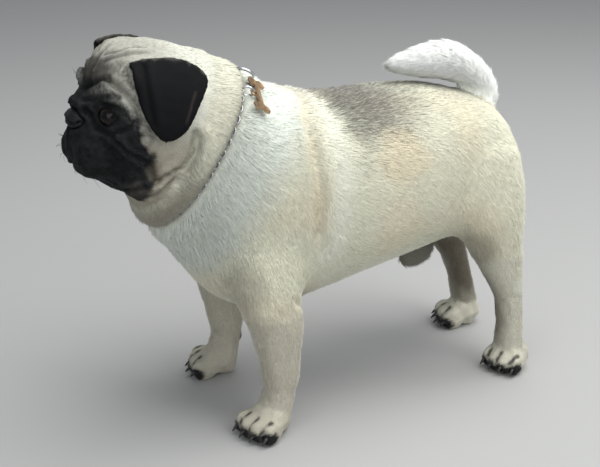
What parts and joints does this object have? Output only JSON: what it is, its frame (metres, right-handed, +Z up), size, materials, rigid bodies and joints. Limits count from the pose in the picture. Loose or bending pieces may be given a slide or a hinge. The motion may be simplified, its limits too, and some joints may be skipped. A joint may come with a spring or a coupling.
{
  "type": "pug dog figure",
  "caption": "Life-size still model of a standing fawn pug with a dark mask, curled tail, slack chain collar and plain bone-shaped tag.",
  "frame": {"origin": "on the floor, under the centre of the animal's bounding box", "axes": "+Z up, the dog faces -Y, its left side is towards +X"},
  "size_m": [0.2088, 0.4916, 0.3801],
  "materials": {
    "fawn_coat": "short dense hair, fawn",
    "cream_coat": "short dense hair, cream",
    "dark_mask": "short smooth hair, near black",
    "black_ear": "velvet-short hair, black",
    "dark_eye": "wet, glossy",
    "nose_leather": "moist, finely pebbled",
    "black_claw": "horn, satin",
    "steel_chain": "bright steel wire",
    "bone_tag": "worn tan metal, plain"
  },
  "bodies": {
    "root": {"chest": "fawn_coat", "loin": "fawn_coat", "rump": "fawn_coat", "neck": "fawn_coat", "head": "fawn_coat", "sheath": "fawn_coat", "shoulder_L": "fawn_coat", "forearm_L": "fawn_coat", "fore_paw_L": "fawn_coat", "thigh_L": "fawn_coat", "shank_L": "fawn_coat", "hock_L": "fawn_coat", "hind_paw_L": "fawn_coat", "shoulder_R": "fawn_coat", "forearm_R": "fawn_coat", "fore_paw_R": "fawn_coat", "thigh_R": "fawn_coat", "shank_R": "fawn_coat", "hock_R": "fawn_coat", "hind_paw_R": "fawn_coat", "tail_base": "cream_coat", "tail_middle": "cream_coat", "tail_tip": "cream_coat", "lower_jaw": "dark_mask", "ear_L": "black_ear", "ear_R": "black_ear", "eye_L": "dark_eye", "eye_R": "dark_eye", "nose": "nose_leather", "fore_claw_L_1": "black_claw", "fore_claw_L_2": "black_claw", "fore_claw_L_3": "black_claw", "fore_claw_L_4": "black_claw", "hind_claw_L_1": "black_claw", "hind_claw_L_2": "black_claw", "hind_claw_L_3": "black_claw", "hind_claw_L_4": "black_claw", "fore_claw_R_1": "black_claw", "fore_claw_R_2": "black_claw", "fore_claw_R_3": "black_claw", "fore_claw_R_4": "black_claw", "hind_claw_R_1": "black_claw", "hind_claw_R_2": "black_claw", "hind_claw_R_3": "black_claw", "hind_claw_R_4": "black_claw", "collar_chain": "steel_chain", "tag_ring": "steel_chain", "slip_ring": "steel_chain", "collar_tag": "bone_tag"}
  },
  "joints": []
}
